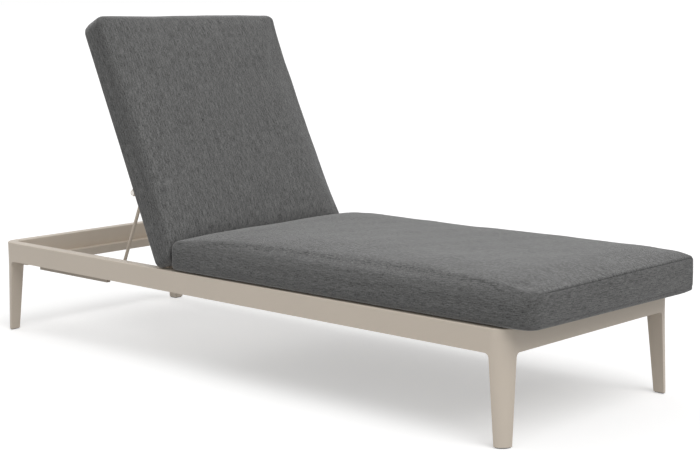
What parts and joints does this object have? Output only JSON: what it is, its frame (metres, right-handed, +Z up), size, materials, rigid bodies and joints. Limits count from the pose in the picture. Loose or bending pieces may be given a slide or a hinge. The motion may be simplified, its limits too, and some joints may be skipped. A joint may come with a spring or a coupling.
{
  "type": "sun lounger",
  "caption": "Low chaise sun lounger with a tapered-leg metal frame, a reclining back held by a prop on notched racks, and thick loose seat and back cushions.",
  "frame": {"origin": "on the floor under the middle of the whole lounger", "axes": "+X to the foot end, +Y to the sitter's left, +Z up"},
  "size_m": [2.065, 0.705, 0.9792],
  "materials": {
    "frame_coating": "taupe powder coating, fine texture",
    "rack_coating": "dark taupe powder coating",
    "bare_steel": "satin stainless",
    "dark_plastic": "matt moulded",
    "cushion_fabric": "charcoal melange weave"
  },
  "bodies": {
    "frame": {"foot_rail": "frame_coating", "glide_foot_left": "dark_plastic", "glide_foot_right": "dark_plastic", "glide_head_left": "dark_plastic", "glide_head_right": "dark_plastic", "head_rail": "frame_coating", "hinge_pin_left": "bare_steel", "hinge_pin_right": "bare_steel", "hinge_plate_left": "frame_coating", "hinge_plate_right": "frame_coating", "hinge_rivets": "bare_steel", "leg_foot_left": "frame_coating", "leg_foot_right": "frame_coating", "leg_head_left": "frame_coating", "leg_head_right": "frame_coating", "rack_bar_left": "rack_coating", "rack_bar_right": "rack_coating", "rack_plate_left": "rack_coating", "rack_plate_right": "rack_coating", "rack_rivets": "bare_steel", "rest_bar": "frame_coating", "seat_cushion": "cushion_fabric", "seat_slat_1": "frame_coating", "seat_slat_2": "frame_coating", "seat_slat_3": "frame_coating", "seat_slat_4": "frame_coating", "seat_slat_5": "frame_coating", "seat_slat_6": "frame_coating", "seat_slat_7": "frame_coating", "seat_slat_8": "frame_coating", "side_rail_left": "frame_coating", "side_rail_right": "frame_coating"},
    "backrest": {"back_bottom_rail": "frame_coating", "back_cushion": "cushion_fabric", "back_slat_1": "frame_coating", "back_slat_2": "frame_coating", "back_slat_3": "frame_coating", "back_slat_4": "frame_coating", "back_slat_5": "frame_coating", "back_slat_6": "frame_coating", "back_stile_left": "frame_coating", "back_stile_right": "frame_coating", "back_top_rail": "frame_coating", "hinge_bush_left": "dark_plastic", "hinge_bush_right": "dark_plastic", "prop_lug_left": "frame_coating", "prop_lug_right": "frame_coating"},
    "prop": {"prop_cap_left": "bare_steel", "prop_cap_right": "bare_steel", "prop_leg_left": "frame_coating", "prop_leg_right": "frame_coating", "prop_rod": "frame_coating"}
  },
  "joints": [
    {"name": "back_recline", "type": "hinge", "parent": "frame", "child": "backrest", "pos_m": [-0.2935, 0, 0.255], "axis": [0, 1, 0], "range_deg": [-65, 0]},
    {"name": "prop_swing", "type": "hinge", "parent": "backrest", "child": "prop", "pos_m": [-0.43148, 0, 0.47754], "axis": [0, 1, 0], "range_deg": [0, 130]}
  ],
  "couplings": [
    {"joint": "prop_swing", "follows": "back_recline", "ratio": -2}
  ]
}
